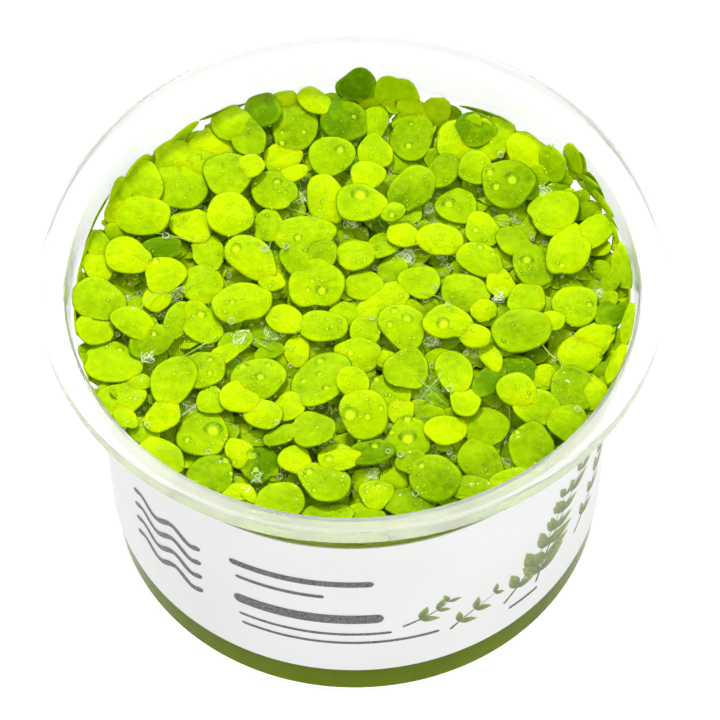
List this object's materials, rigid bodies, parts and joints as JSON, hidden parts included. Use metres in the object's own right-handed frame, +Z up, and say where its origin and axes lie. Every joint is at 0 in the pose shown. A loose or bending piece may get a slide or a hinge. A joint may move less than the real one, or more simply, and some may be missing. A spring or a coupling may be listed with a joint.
{
  "type": "potted giant duckweed",
  "caption": "Clear round cup with a wide flat rim and a paper band, filled with a nutrient medium and a dense mat of overlapping round duckweed fronds.",
  "frame": {"origin": "middle of the cup's foot, on the plane it stands on", "axes": "+Z up along the cup's axis; the label's front faces -Y and its seam +Y"},
  "size_m": [0.1, 0.1, 0.0604],
  "materials": {
    "clear_polypropylene": "translucent, smooth",
    "label_paper": "satin",
    "nutrient_medium": "clear jelly, tinted green",
    "duckweed_bed": "wet leaf",
    "frond_yellow_green": "wet leaf",
    "frond_bright_green": "wet leaf",
    "frond_mid_green": "wet leaf",
    "frond_deep_green": "wet leaf"
  },
  "bodies": {
    "root": {"cup": "clear_polypropylene", "label": "label_paper", "nutrient_medium": "nutrient_medium", "duckweed_bed": "duckweed_bed", "duckweed_plant_01": "frond_mid_green", "duckweed_plant_02": "frond_mid_green", "duckweed_plant_03": "frond_bright_green", "duckweed_plant_04": "frond_bright_green", "duckweed_plant_05": "frond_yellow_green", "duckweed_plant_06": "frond_bright_green", "duckweed_plant_07": "frond_deep_green", "duckweed_plant_08": "frond_yellow_green", "duckweed_plant_09": "frond_bright_green", "duckweed_plant_10": "frond_bright_green", "duckweed_plant_11": "frond_bright_green", "duckweed_plant_12": "frond_bright_green", "duckweed_plant_13": "frond_yellow_green", "duckweed_plant_14": "frond_yellow_green", "duckweed_plant_15": "frond_deep_green", "duckweed_plant_16": "frond_deep_green", "duckweed_plant_17": "frond_bright_green", "duckweed_plant_18": "frond_bright_green", "duckweed_plant_19": "frond_yellow_green", "duckweed_plant_20": "frond_mid_green", "duckweed_plant_21": "frond_bright_green", "duckweed_plant_22": "frond_mid_green", "duckweed_plant_23": "frond_bright_green", "duckweed_plant_24": "frond_mid_green", "duckweed_plant_25": "frond_bright_green", "duckweed_plant_26": "frond_bright_green", "duckweed_plant_27": "frond_mid_green", "duckweed_plant_28": "frond_yellow_green", "duckweed_plant_29": "frond_bright_green", "duckweed_plant_30": "frond_mid_green", "duckweed_plant_31": "frond_mid_green", "duckweed_plant_32": "frond_bright_green", "duckweed_plant_33": "frond_bright_green", "duckweed_plant_34": "frond_bright_green", "duckweed_plant_35": "frond_yellow_green", "duckweed_plant_36": "frond_bright_green", "duckweed_plant_37": "frond_bright_green", "duckweed_plant_38": "frond_bright_green", "duckweed_plant_39": "frond_bright_green", "duckweed_plant_40": "frond_bright_green", "duckweed_plant_41": "frond_mid_green", "duckweed_plant_42": "frond_yellow_green", "duckweed_plant_43": "frond_bright_green", "duckweed_plant_44": "frond_mid_green", "duckweed_plant_45": "frond_yellow_green", "duckweed_plant_46": "frond_bright_green", "duckweed_plant_47": "frond_yellow_green", "duckweed_plant_48": "frond_yellow_green", "duckweed_plant_49": "frond_yellow_green", "duckweed_plant_50": "frond_bright_green", "duckweed_plant_51": "frond_bright_green", "duckweed_plant_52": "frond_yellow_green", "duckweed_plant_53": "frond_yellow_green", "duckweed_plant_54": "frond_deep_green", "duckweed_plant_55": "frond_bright_green", "duckweed_plant_56": "frond_bright_green"}
  },
  "joints": []
}
